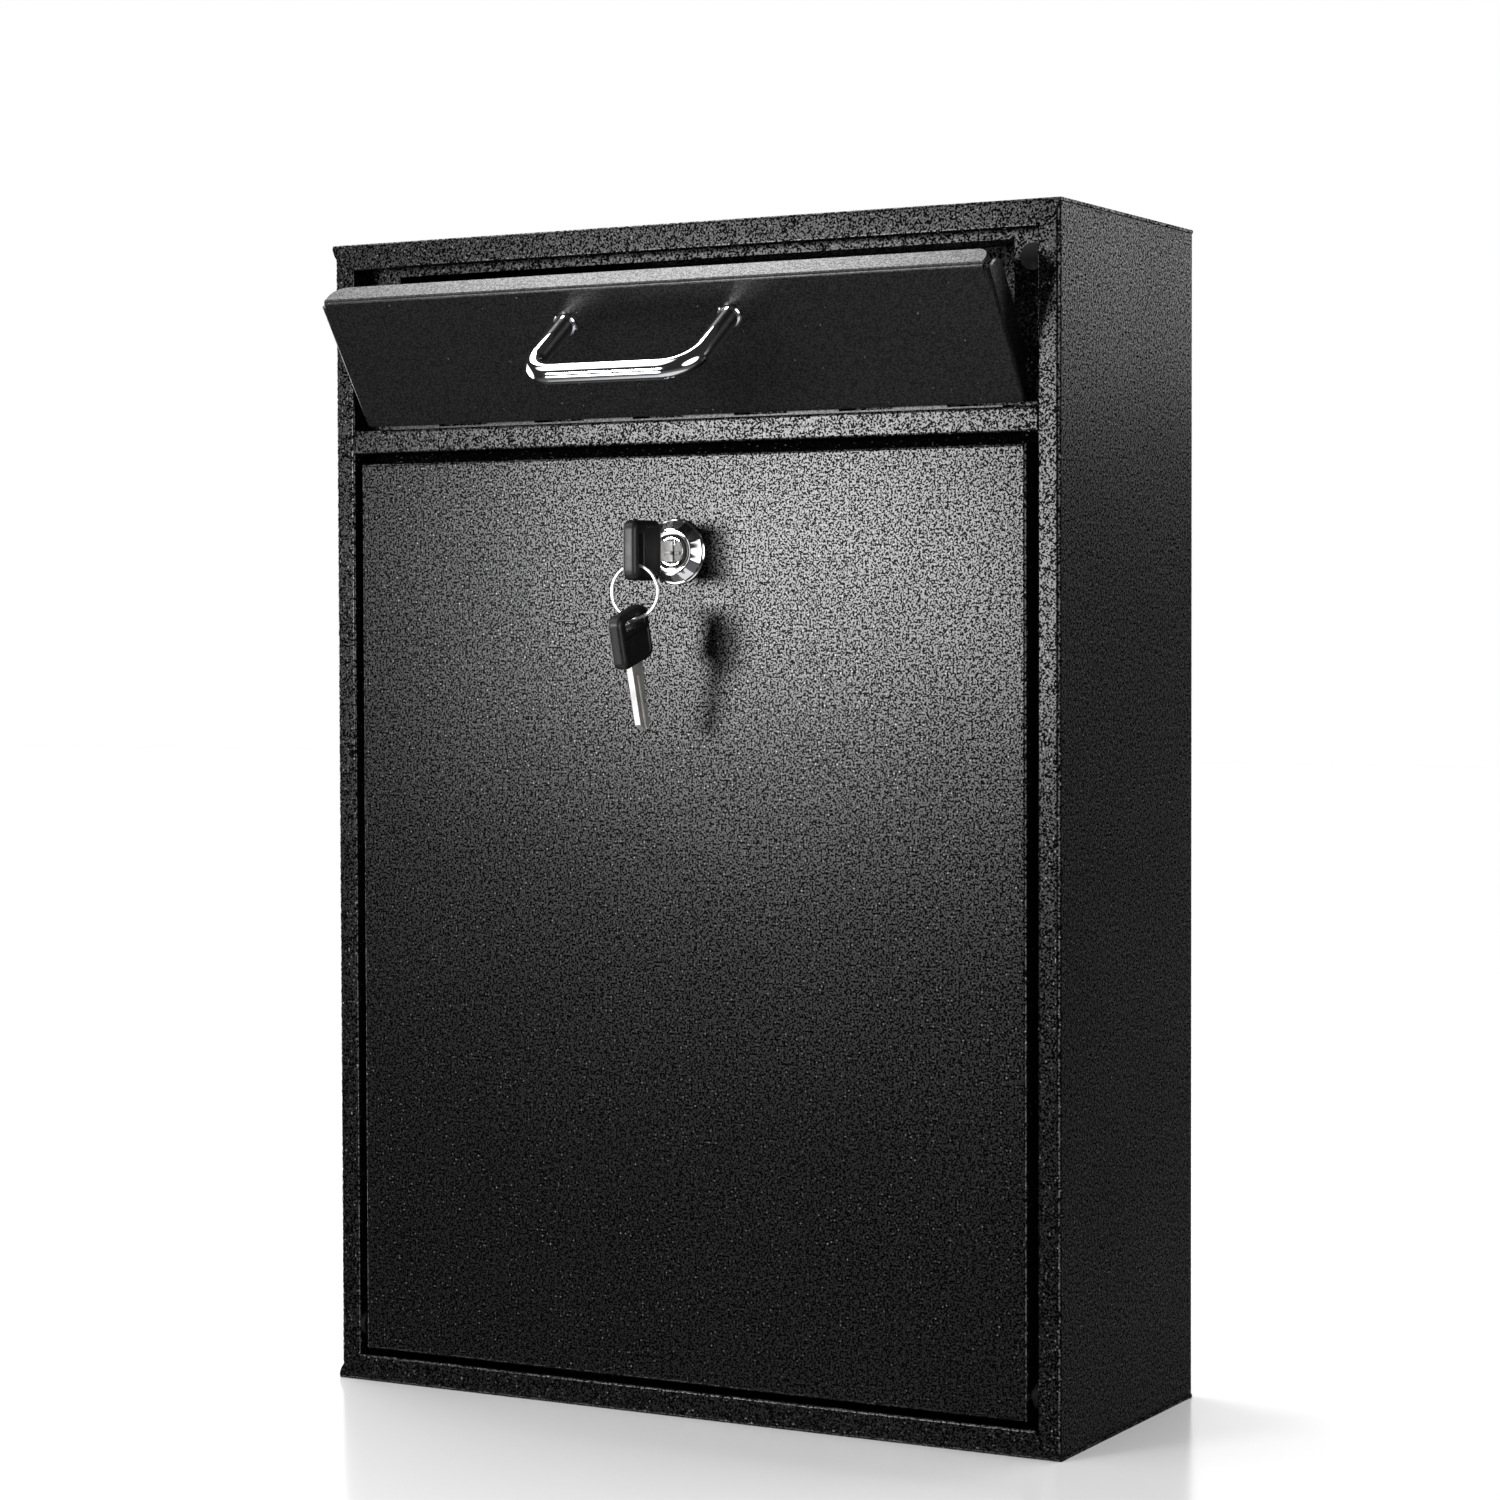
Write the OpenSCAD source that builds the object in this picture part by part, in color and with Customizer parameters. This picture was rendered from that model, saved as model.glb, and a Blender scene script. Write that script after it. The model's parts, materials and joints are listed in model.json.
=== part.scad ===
// Wall or table drop box in folded sheet steel: a mail flap with a bow handle above a
// lockable door that drops forward on two pivot pins. X is to the right, +Y runs back to
// the wall, +Z is up. The origin is the middle of the base, on the surface it stands on.
// The flap is drawn in its open position, resting on its stops.

/* [Case] */
// Overall width of the case
box_w = 285; // [270:1:320]
// Overall depth of the case, front face to wall
box_d = 120; // [110:1:160]
// Overall height of the case
box_h = 411.5; // [400:0.5:440]
// Thickness of the case sheet
sheet_t = 1; // [0.8:0.1:1.2]
// Visible width of each front stile
stile_w = 8.5; // [8:0.5:12]
// Height of the lip that the top cap folds over the front
cap_lip = 9.5; // [9:0.5:12]
// Height of the lip that the base tray folds over the front
base_lip = 9.5; // [9:0.5:10]
// Height of the rail between flap and door
rail_h = 8.5; // [8:0.5:10]
// Top of that rail above the base
rail_top = 344.5; // [340:0.5:346]

/* [Wall fixing] */
// Distance across between the wall screw holes
wall_dx = 200; // [160:5:220]
// Distance up between the wall screw holes
wall_dz = 240; // [200:5:250]
// Height of the middle of the hole pattern
wall_z = 180; // [170:5:190]
// Diameter of a wall screw hole
wall_hole_d = 6.5; // [5:0.5:8]

/* [Door] */
// Thickness of the door sheet
door_t = 0.8; // [0.8:0.1:1]
// Width of the door
door_w = 261; // [255:0.5:262]
// Depth of the folded edge of the door pan
door_fold = 13.8; // [12:0.1:14]
// Gap under the door, above the lip of the base tray
door_gap_low = 2.3; // [2:0.1:3]
// Gap over the door, under the rail
door_gap_high = 3.5; // [3:0.1:5]
// Distance of the door pivot behind the front plane
door_pivot_in = 6; // [5.5:0.1:7]
// Height of the door pivot
door_pivot_z = 20; // [19:0.5:22]

/* [Lock] */
// Distance of the lock axis below the top of the door
lock_drop = 33.5; // [30:0.5:40]
// Diameter of the chrome bezel
bezel_d = 22.8; // [21:0.2:26]
// Diameter of the lock barrel behind the bezel
barrel_d = 19; // [18:0.5:20]
// Diameter of the turning core
core_d = 13; // [12:0.5:14]
// Reach of the cam from the lock axis to its tip
cam_reach = 34; // [32:0.5:38]

/* [Flap] */
// Width of the flap
flap_w = 258.6; // [250:0.2:260]
// Height of the flap plate
flap_h = 52; // [50:0.5:52.5]
// Depth of the side cheeks of the flap
cheek_d = 10.5; // [9:0.5:10.5]
// Depth of the top flange of the flap
flap_top_d = 9.5; // [8:0.5:9.5]
// Angle to which the flap opens
flap_open = 35; // [35:1:36]

/* [Bow handle] */
// Distance between the legs of the handle
handle_w = 64; // [50:1:90]
// Diameter of the handle rod
rod_d = 7; // [6:0.5:8]
// Distance of the rod's centre line from the flap
handle_out = 33.5; // [28:0.5:36]
// Radius of the two bends, on the centre line
handle_bend = 11; // [8:0.5:14]

/* [Keys] */
// Height of a key's plastic bow, across the blade
bow_w = 20.3; // [18:0.1:24]
// Length of a key's plastic bow, along the blade
bow_l = 18.5; // [16:0.1:22]
// Thickness of the bow
bow_t = 5.5; // [4:0.1:6]
// Length of blade that shows beyond the bow
blade_l = 23; // [20:0.5:26]
// Radius of the split ring on its centre line
ring_r = 8.7; // [8:0.1:10]
// Diameter of the split ring's wire
wire_d = 1.3; // [1:0.1:1.4]

/* [Hidden] */
$fn = 64;
eps = 0.01;

// Colours
case_col = "#1c1c1e";
flap_col = "#2a2a2c";
steel_col = "#9a9c9f";
chrome_col = "#d8dadd";
rubber_col = "#151515";
plastic_col = "#101011";

// Places in the case
front_y = -box_d / 2;
back_y = box_d / 2;
stile_y = front_y + sheet_t;
plate_inset = 0.4;
shell_w = box_w - 2 * plate_inset;
opening_w = box_w - 2 * stile_w;
return_d = 11;
return_back_y = stile_y + return_d;
front_bend = 1.5;
rear_bend = 4;
lip_step = 1.5;
lip_corner = 8;
rail_low = rail_top - rail_h;
rail_back_y = front_y + 16;
strike_h = 16;
strike_from_y = rail_back_y - 5;

// Slot frame, just behind the closed flap
frame_y = front_y + 12;
slot_w = 242;
slot_low = 353;
slot_high = 400;
bumper_x = 128;
bumper_z = 394;
bumper_r = 4.5;
bumper_t = 0.8;

// Baffle under the slot
baffle_w = 278;
baffle_z = 352.5;
baffle_len = 52;
baffle_slope = 22;
baffle_lip = 8;
rivet_r = 2.4;
rivet_z = rail_top + 3.4;

// Flap and its rolled hinge
flap_front_y = front_y + 0.4;
flap_low = 347.5;
flap_top = flap_low + flap_h;
flap_pivot = [front_y + 3.9, 349.5];
knuckle_r = 2.2;
pin_r = 1.2;
pin_play = 0.05;
hinge_l = 240;
knuckles = 12;
knuckle_pitch = hinge_l / knuckles;
knuckle_gap = 0.3;
leaf_t = 0.8;
stop_arm_x = 123;
stop_arm_t = 2.5;
stop_arm_back = 7.6;
stop_arm_h = 3;
stop_top = flap_pivot[1] + stop_arm_back * sin(flap_open) + stop_arm_h * cos(flap_open);

// Handle on the flap
handle_z = 385.5;
screw_r = 2;
screw_hole_r = 2.1;

// Door pan
door_front_y = front_y + 0.2;
door_low = base_lip + door_gap_low;
door_top = rail_low - door_gap_high;
door_h = door_top - door_low;
door_back_y = door_front_y + door_fold;
door_return = 9;
door_pivot = [front_y + door_pivot_in, door_pivot_z];
pivot_r = 2;
bush_r = 3.2;
hat_x = 65;
hat_w = 24;
hat_d = 10;
hat_l = 270;

// Lock stack, front to back
lock_z = door_top - lock_drop;
bezel_out = 4.6;
barrel_back_y = door_back_y - 0.6;
cam_y = rail_back_y + 0.9;
cam_t = 2;
tail_w = 6;
core_r = core_d / 2;
core_play = 0.05;
keyway = [2.8, 8];

// Keys: distances along the key from the core's face
key_face_y = front_y - 3.6;
bow_near = 10.9;
blade_w = 7.2;
blade_t = 2.2;
blade_in = blade_l - bow_near;
slot_near_end = 4.3;
slot_l = 13;
slot_t = 3.4;
bow_far_y = key_face_y - bow_near - bow_l;
ring_y = bow_far_y + slot_near_end;
// The ring's wire curves away by this much within the bow's thickness
wire_sag = ring_r - sqrt(ring_r * ring_r - bow_t * bow_t / 4) + 0.15;
ring_top_z = lock_z - slot_l / 2 + wire_d / 2 + wire_sag;
ring_z = ring_top_z - ring_r;
// Distance from the wire down to the spare key's centre of mass
balance_l = 16.6;

// ---- 2D shapes ----

// Rectangle centred on x with its front edge on y = 0, rounded at the front and at the back
module rounded_plan(w, d, r_front, r_back) {
    translate([-w / 2, r_front]) square([w, d - r_front - r_back]);
    translate([-w / 2 + r_front, 0]) square([w - 2 * r_front, d / 2]);
    translate([-w / 2 + r_back, d / 2]) square([w - 2 * r_back, d / 2]);
    for (s = [-1, 1]) {
        translate([s * (w / 2 - r_front), r_front]) circle(r_front);
        translate([s * (w / 2 - r_back), d - r_back]) circle(r_back);
    }
}

// Lip seen from the front: full height between the stiles, lower over them, round at the ends
module lip_outline(h) {
    end_h = h - lip_step;
    translate([-opening_w / 2, 0]) square([opening_w, h]);
    difference() {
        translate([-box_w / 2, 0]) square([box_w, end_h]);
        for (s = [-1, 1]) difference() {
            translate([s * (box_w / 2 - lip_corner / 2), end_h - lip_corner / 2])
                square(lip_corner, center = true);
            translate([s * (box_w / 2 - lip_corner), end_h - lip_corner]) circle(lip_corner);
        }
    }
}

// ---- Sweeps and placing ----

// Draws a (y, z) outline as a solid of width w across the case
module across(w) {
    rotate([90, 0, 90]) linear_extrude(w, center = true) children();
}

// Turns an (x, z) outline into a plate that starts at y and runs back by t
module facing_front(y, t) {
    translate([0, y + t, 0]) rotate([90, 0, 0]) linear_extrude(t) children();
}

// Cylinder along X, centred on x
module rod_x(x, y, z, r, l) {
    translate([x, y, z]) rotate([0, 90, 0]) cylinder(r = r, h = l, center = true);
}

// Cylinder that starts at y and runs back by l
module rod_y(x, y, z, r, l) {
    translate([x, y + l, z]) rotate([90, 0, 0]) cylinder(r = r, h = l);
}

module mirrored_x() {
    children();
    mirror([1, 0, 0]) children();
}

// Swings what is drawn closed to the open position of the flap
module flap_at_rest() {
    translate([0, flap_pivot[0], flap_pivot[1]]) rotate([flap_open, 0, 0])
        translate([0, -flap_pivot[0], -flap_pivot[1]]) children();
}

// ---- Case ----

module shell_plan() {
    translate([0, stile_y]) difference() {
        rounded_plan(shell_w, back_y - stile_y, front_bend, rear_bend);
        translate([0, sheet_t])
            rounded_plan(shell_w - 2 * sheet_t, back_y - stile_y - 2 * sheet_t,
                front_bend - sheet_t, rear_bend - sheet_t);
        translate([-opening_w / 2 - sheet_t, -1]) square([opening_w + 2 * sheet_t, 3]);
    }
    mirrored_x() translate([opening_w / 2, stile_y]) {
        translate([0, sheet_t]) square([sheet_t, return_d - sheet_t]);
        intersection() {
            translate([sheet_t, sheet_t]) circle(sheet_t);
            square(sheet_t);
        }
    }
}

module body_shell() {
    color(case_col) difference() {
        translate([0, 0, sheet_t]) linear_extrude(box_h - 2 * sheet_t) shell_plan();
        for (sx = [-1, 1], sz = [-1, 1])
            rod_y(sx * wall_dx / 2, back_y - 5, wall_z + sz * wall_dz / 2, wall_hole_d / 2, 10);
        for (s = [-1, 1])
            rod_x(s * opening_w / 2, door_pivot[0], door_pivot[1], bush_r, 6);
    }
}

// Flat plate with a lip folded over the front and hemmed back on itself, drawn as the base
module lipped_tray(lip) {
    intersection() {
        union() {
            linear_extrude(sheet_t) translate([0, front_y])
                rounded_plan(box_w, box_d, sheet_t / 2, rear_bend);
            across(box_w) translate([front_y, sheet_t]) square([sheet_t, lip - sheet_t]);
        }
        union() {
            facing_front(front_y, sheet_t) lip_outline(lip);
            translate([-box_w / 2, stile_y, 0]) cube([box_w, box_d, sheet_t]);
        }
        across(box_w + 2) union() {
            translate([front_y + sheet_t, 0]) square([box_d, lip]);
            translate([front_y, sheet_t]) square([box_d, lip]);
            translate([front_y + sheet_t, sheet_t]) circle(sheet_t);
        }
    }
    across(opening_w - 0.4) {
        translate([stile_y, sheet_t]) square([sheet_t, lip - 2 * sheet_t]);
        translate([stile_y, lip - sheet_t]) intersection() {
            circle(sheet_t);
            translate([-sheet_t, 0]) square(2 * sheet_t);
        }
    }
}

// The hem rounds the top of the lip, so the flat of the lip stops one sheet lower between the stiles
module hemmed_tray(lip) {
    difference() {
        lipped_tray(lip);
        across(opening_w - 0.4) difference() {
            translate([front_y - 1, lip - sheet_t]) square([1 + sheet_t, 2]);
            translate([stile_y, lip - sheet_t]) circle(sheet_t);
        }
    }
}

module base_tray() {
    color(case_col) hemmed_tray(base_lip);
}

module top_cap() {
    color(case_col) translate([0, 0, box_h]) mirror([0, 0, 1]) hemmed_tray(cap_lip);
}

// Outline of the rail's rear leg, which slopes down and back, then hangs as the strike for the cam
module strike_leg() {
    front = rail_back_y - sheet_t;
    knee = rail_low - (front - strike_from_y);
    bend = sheet_t * tan(22.5);
    polygon([
        [strike_from_y, rail_low], [front, knee], [front, rail_low - strike_h + sheet_t],
        [rail_back_y, rail_low - strike_h + sheet_t], [rail_back_y, knee + bend],
        [strike_from_y + bend, rail_low + sheet_t], [strike_from_y, rail_low + sheet_t]]);
}

// Channel between the stiles, with the strike behind it
module mid_rail() {
    color(case_col) across(opening_w) {
        difference() {
            union() {
                translate([stile_y + 1, rail_low]) square([return_d - 1, rail_h]);
                translate([stile_y, rail_low + 1]) square([return_d, rail_h - 2]);
                for (z = [rail_low + 1, rail_top - 1]) translate([stile_y + 1, z]) circle(1);
            }
            translate([stile_y + sheet_t, rail_low + sheet_t])
                square([return_d + 1, rail_h - 2 * sheet_t]);
        }
        translate([stile_y + 1, rail_low]) square([strike_from_y - stile_y - 1, sheet_t]);
        strike_leg();
    }
}

// ---- Mail slot ----

module slot_frame() {
    color(case_col) {
        difference() {
            facing_front(frame_y, sheet_t) difference() {
                translate([-box_w / 2 + 1.5, rail_top])
                    square([box_w - 3, box_h - sheet_t - rail_top]);
                translate([-slot_w / 2, slot_low]) square([slot_w, slot_high - slot_low]);
            }
            baffle_rivet_holes();
        }
        mirrored_x() translate([stop_arm_x - 2, frame_y - 6, stop_top + 0.02])
            cube([4, 6 + sheet_t, sheet_t]);
    }
}

module baffle_rivet_holes() {
    for (s = [-1, 1]) rod_y(s * 100, frame_y - 1, rivet_z, 1.6, 4);
}

// Side view of the baffle: front leg, slope down to the rear, short lip hanging from its end
module baffle_outline() {
    y0 = frame_y + sheet_t;
    y1 = y0 + baffle_len * cos(baffle_slope);
    z1 = baffle_z - baffle_len * sin(baffle_slope);
    under = sheet_t / cos(baffle_slope);
    polygon([[y0, rail_top], [y0, baffle_z], [y1, z1], [y1, z1 - baffle_lip],
        [y1 - sheet_t, z1 - baffle_lip], [y1 - sheet_t, z1 + sheet_t * tan(baffle_slope) - under],
        [y0 + sheet_t, baffle_z - sheet_t * tan(baffle_slope) - under], [y0 + sheet_t, rail_top]]);
}

// Sloped plate that lets mail slide in and keeps fingers out
module anti_fishing_baffle() {
    color(case_col) difference() {
        across(baffle_w) baffle_outline();
        baffle_rivet_holes();
    }
}

module baffle_rivets() {
    color(steel_col) for (s = [-1, 1]) {
        rod_y(s * 100, frame_y - 0.9, rivet_z, rivet_r, 0.9);
        rod_y(s * 100, frame_y - 0.1, rivet_z, 1.6, 2 * sheet_t + 0.2);
        rod_y(s * 100, frame_y + 2 * sheet_t, rivet_z, rivet_r, 0.9);
    }
}

module flap_bumpers() {
    color(rubber_col) for (s = [-1, 1])
        rod_y(s * bumper_x, frame_y - bumper_t, bumper_z, bumper_r, bumper_t);
}

module door_bumpers() {
    strike_y = rail_back_y - sheet_t;
    color(rubber_col) for (s = [-1, 1])
        rod_y(s * 112, door_back_y + 0.1, door_top - 5, 4, strike_y - door_back_y - 0.1);
}

// ---- Rolled hinge of the flap ----

// Knuckles first, first + 2, ... of the hinge barrel
module barrel(first) {
    for (i = [first : 2 : knuckles - 1])
        rod_x((i + 0.5) * knuckle_pitch - hinge_l / 2, flap_pivot[0], flap_pivot[1],
            knuckle_r, knuckle_pitch - knuckle_gap);
}

module barrel_bore() {
    rod_x(0, flap_pivot[0], flap_pivot[1], pin_r + pin_play, hinge_l + 2);
}

// Straight tangent plates from each knuckle, a box given as [y, z] and [dy, dz] from the pivot
module knuckle_plates(first, at, size) {
    for (i = [first : 2 : knuckles - 1])
        translate([i * knuckle_pitch - hinge_l / 2 + knuckle_gap / 2,
            flap_pivot[0] + at[0], flap_pivot[1] + at[1]])
            cube([knuckle_pitch - knuckle_gap, size[0], size[1]]);
}

module rail_hinge_leaf() {
    drop = flap_pivot[1] - rail_top;
    color(steel_col) difference() {
        union() {
            barrel(0);
            knuckle_plates(0, [knuckle_r - 1, -drop], [1, drop]);
            translate([-hinge_l / 2, flap_pivot[0] + knuckle_r - 1, rail_top])
                cube([hinge_l, 6.6, leaf_t]);
        }
        barrel_bore();
    }
}

module flap_hinge_pin() {
    color(steel_col) rod_x(0, flap_pivot[0], flap_pivot[1], pin_r, hinge_l + 1);
}

module flap_hinge_leaf() {
    leaf_y = flap_front_y + sheet_t - flap_pivot[0];
    color(steel_col) flap_at_rest() difference() {
        union() {
            barrel(1);
            knuckle_plates(1, [leaf_y, 0], [leaf_t, 4]);
            translate([-hinge_l / 2, flap_pivot[0] + leaf_y, flap_pivot[1] + 3])
                cube([hinge_l, leaf_t, 7]);
        }
        barrel_bore();
    }
}

// ---- Flap ----

// Side view of plate and cheeks: shallow foot, taper, parallel part, round top corner
module cheek_outline() {
    y0 = flap_front_y;
    y1 = y0 + cheek_d;
    top = flap_top - 2.6;
    r = 4;
    polygon([[y0, flap_low], [y0 + 2, flap_low], [y0 + 2, flap_low + 3], [y1, flap_low + 12.5],
        [y1, top - r], [y1 - r, top - r], [y1 - r, top], [y0, top]]);
    translate([y1 - r, top - r]) circle(r);
}

module flap_panel() {
    color(flap_col) flap_at_rest() difference() {
        union() {
            intersection() {
                translate([0, flap_front_y, flap_low]) linear_extrude(flap_h) difference() {
                    rounded_plan(flap_w, cheek_d, front_bend, 0.1);
                    translate([0, sheet_t]) rounded_plan(flap_w - 2 * sheet_t, cheek_d + 1,
                        front_bend - sheet_t, 0.1);
                }
                across(flap_w + 2) cheek_outline();
            }
            intersection() {
                translate([0, flap_front_y, flap_top - 4]) linear_extrude(4)
                    rounded_plan(flap_w - 4, flap_top_d, 0.1, 5);
                across(flap_w - 4) difference() {
                    union() {
                        translate([flap_front_y, flap_top - 4])
                            square([flap_top_d, 4 - front_bend]);
                        translate([flap_front_y + front_bend, flap_top - 4])
                            square([flap_top_d - front_bend, 4]);
                        translate([flap_front_y + front_bend, flap_top - front_bend])
                            circle(front_bend);
                    }
                    translate([flap_front_y + sheet_t, flap_top - 5])
                        square([flap_top_d, 5 - sheet_t]);
                }
            }
        }
        for (s = [-1, 1])
            rod_y(s * handle_w / 2, flap_front_y - 1, handle_z, screw_hole_r, 4);
    }
}

module flap_stop_arms() {
    y0 = flap_front_y + sheet_t;
    color(steel_col) flap_at_rest() mirrored_x()
        translate([stop_arm_x - stop_arm_t / 2, y0, flap_pivot[1]])
            cube([stop_arm_t, flap_pivot[0] + stop_arm_back - y0, stop_arm_h]);
}

module flap_handle() {
    leg = handle_out - handle_bend;
    half = handle_w / 2 - handle_bend;
    color(chrome_col) flap_at_rest() translate([0, flap_front_y, handle_z]) difference() {
        union() {
            rod_x(0, -handle_out, 0, rod_d / 2, 2 * half);
            mirrored_x() {
                rod_y(handle_w / 2, -leg, 0, rod_d / 2, leg);
                rod_y(handle_w / 2, -1.2, 0, rod_d / 2 + 0.9, 1.2);
                translate([half, -leg, 0]) rotate([0, 0, -90])
                    rotate_extrude(angle = 90) translate([handle_bend, 0]) circle(rod_d / 2);
            }
        }
        mirrored_x() rod_y(handle_w / 2, -10, 0, screw_r, 11);
    }
}

module handle_screws() {
    y0 = flap_front_y + sheet_t + 0.8;
    color(steel_col) flap_at_rest() mirrored_x() {
        rod_y(handle_w / 2, y0, handle_z, 3.6, 2.4);
        rod_y(handle_w / 2, flap_front_y - 9.6, handle_z, screw_r, 9.7 + sheet_t + 0.8);
    }
}

module handle_washers() {
    y0 = flap_front_y + sheet_t;
    color(steel_col) flap_at_rest() mirrored_x() difference() {
        rod_y(handle_w / 2, y0, handle_z, 4.5, 0.8);
        rod_y(handle_w / 2, y0 - 1, handle_z, screw_hole_r, 3);
    }
}

// ---- Door ----

// Solid block with its front edges rounded on all four sides
module door_block(w, y0, y1, z0, z1, r) {
    intersection() {
        translate([0, y0, z0]) linear_extrude(z1 - z0) rounded_plan(w, y1 - y0, r, 0.05);
        across(w + 1) translate([y0, 0]) {
            translate([r, z0]) square([y1 - y0 - r, z1 - z0]);
            translate([0, z0 + r]) square([y1 - y0, z1 - z0 - 2 * r]);
            for (z = [z0 + r, z1 - r]) translate([r, z]) circle(r);
        }
    }
}

module door_panel() {
    w2 = door_w - 2 * door_t;
    back_w = door_w - 2 * door_return;
    color(case_col) difference() {
        door_block(door_w, door_front_y, door_back_y, door_low, door_top, 1.2);
        translate([-w2 / 2, door_front_y + door_t, door_low + door_t])
            cube([w2, door_fold - 2 * door_t, door_h - 2 * door_t]);
        translate([-back_w / 2, door_front_y + door_t, door_low + door_return])
            cube([back_w, door_fold, door_h - 2 * door_return]);
        rod_y(0, door_front_y - 1, lock_z, barrel_d / 2, 4);
        for (s = [-1, 1])
            rod_x(s * door_w / 2, door_pivot[0], door_pivot[1], pivot_r, 6);
    }
}

// Two upright hat sections behind the door sheet
module door_stiffeners() {
    y0 = door_front_y + door_t;
    z0 = door_low + 24;
    color(case_col) for (s = [-1, 1]) translate([s * hat_x, y0, z0]) linear_extrude(hat_l) {
        translate([-hat_w / 2, hat_d - door_t]) square([hat_w, door_t]);
        for (e = [-1, 1]) {
            translate([e * (hat_w - door_t) / 2 - door_t / 2, 0]) square([door_t, hat_d]);
            translate([e * (hat_w / 2 + 4 - door_t / 2) - 4, 0]) square([8, door_t]);
        }
    }
}

// Headed pins riveted through the door's side folds; they turn in the bushes of the stiles
module door_pivot_pins() {
    side = door_w / 2;
    color(steel_col) mirrored_x() {
        rod_x(side + 2.5, door_pivot[0], door_pivot[1], pivot_r, 7.2);
        rod_x(side - door_t - 0.6, door_pivot[0], door_pivot[1], 3.4, 1.2);
    }
}

module door_pivot_bushes() {
    inner = opening_w / 2;
    color(plastic_col) mirrored_x() difference() {
        union() {
            rod_x(inner - 0.9, door_pivot[0], door_pivot[1], 4.6, 1.8);
            rod_x(inner + 1, door_pivot[0], door_pivot[1], bush_r, 2.6);
            rod_x(inner + sheet_t + 0.7, door_pivot[0], door_pivot[1], 3.9, 1.4);
        }
        rod_x(inner, door_pivot[0], door_pivot[1], pivot_r + 0.05, 12);
    }
}

// ---- Lock ----

// Turned bezel and barrel: (radius, distance in front of the door) around the lock axis
module lock_body() {
    r = bezel_d / 2;
    barrel = barrel_back_y - door_front_y;
    color(chrome_col) translate([0, door_front_y, lock_z]) rotate([90, 0, 0]) rotate_extrude()
        polygon([[core_r + core_play, -barrel], [barrel_d / 2, -barrel], [barrel_d / 2, 0],
            [r, 0], [r, 1], [r - 0.6, 1.6], [r - 2.9, bezel_out - 0.3], [r - 3.3, bezel_out],
            [r - 4, bezel_out], [r - 4.4, bezel_out - 0.9], [core_r + core_play, bezel_out - 0.9]]);
}

module lock_nut() {
    color(steel_col) translate([0, door_front_y + door_t + 1, lock_z]) rotate([-90, 0, 0])
        difference() {
            cylinder(d = 27, h = 4, $fn = 6);
            translate([0, 0, -1]) cylinder(d = barrel_d, h = 6);
        }
}

module lock_washer() {
    color(steel_col) difference() {
        rod_y(0, door_front_y + door_t, lock_z, 13, 1);
        rod_y(0, door_front_y + door_t - 1, lock_z, barrel_d / 2, 3);
    }
}

// Core with its keyway, a collar behind the barrel and a square tail for the cam
module lock_core() {
    tail_l = cam_y + cam_t - 0.1 - barrel_back_y;
    color(steel_col) difference() {
        union() {
            rod_y(0, key_face_y, lock_z, core_r, barrel_back_y - key_face_y + 0.1);
            rod_y(0, barrel_back_y + 0.05, lock_z, core_r + 1.5, cam_y - barrel_back_y - 0.05);
            translate([-tail_w / 2, barrel_back_y, lock_z - tail_w / 2])
                cube([tail_w, tail_l, tail_w]);
        }
        translate([-keyway[0] / 2, key_face_y - 1, lock_z - keyway[1] / 2])
            cube([keyway[0], blade_in + 2, keyway[1]]);
        rod_y(0, cam_y - 4, lock_z, 1.5, 10);
    }
}

// Cam at rest beside the axis; turned by a quarter it stands up behind the rail
module lock_cam() {
    color(steel_col) difference() {
        facing_front(cam_y, cam_t) {
            translate([0, lock_z]) circle(8);
            translate([0, lock_z - 6]) square([cam_reach - 6, 12]);
            translate([cam_reach - 6, lock_z]) circle(6);
        }
        translate([-tail_w / 2, cam_y - 1, lock_z - tail_w / 2]) cube([tail_w, 4, tail_w]);
    }
}

module cam_washer() {
    color(steel_col) difference() {
        rod_y(0, cam_y + cam_t, lock_z, 5.5, 0.8);
        rod_y(0, cam_y + cam_t - 1, lock_z, 1.6, 3);
    }
}

module cam_screw() {
    y0 = cam_y + cam_t + 0.8;
    color(steel_col) {
        rod_y(0, y0 - 5.4, lock_z, 1.5, 5.5);
        difference() {
            rod_y(0, y0, lock_z, 3.4, 2.2);
            for (a = [0, 90]) translate([0, y0 + 1.9, lock_z]) rotate([0, a, 0])
                cube([4, 1.8, 0.9], center = true);
        }
    }
}

// ---- Keys ----
// A key is drawn in its own frame: the blade points to +Y, the near face of the bow is at
// y = 0, the bow runs to y = -bow_l, its width is along Z and its thickness along X.

module bow_outline() {
    w = bow_w / 2;
    r = 3;
    cut = 2.5;
    difference() {
        union() {
            translate([-bow_l + r, -w]) square([bow_l - r - cut, bow_w]);
            translate([-bow_l, -w + r]) square([bow_l / 2, bow_w - 2 * r]);
            polygon([[-cut - eps, -w], [-cut, -w], [0, -w + cut], [0, w - cut], [-cut, w],
                [-cut - eps, w]]);
            for (s = [-1, 1]) translate([-bow_l + r, s * (w - r)]) circle(r);
        }
        translate([-bow_l + slot_near_end, 0]) {
            square([slot_t, slot_l - slot_t], center = true);
            for (s = [-1, 1]) translate([0, s * (slot_l - slot_t) / 2]) circle(slot_t / 2);
        }
    }
}

module bow_shape() {
    difference() {
        union() {
            across(bow_t - 1.2) bow_outline();
            across(bow_t) intersection() {
                bow_outline();
                translate([-bow_l + 1.2, -bow_w / 2 + 1.2]) square([bow_l - 2.4, bow_w - 2.4]);
            }
        }
        translate([-blade_t / 2, -5, -blade_w / 2]) cube([blade_t, 6, blade_w]);
        for (s = [-1, 1]) translate([s * (bow_t / 2), -5.8, 0]) cube([0.6, 7, 12], center = true);
    }
}

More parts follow.
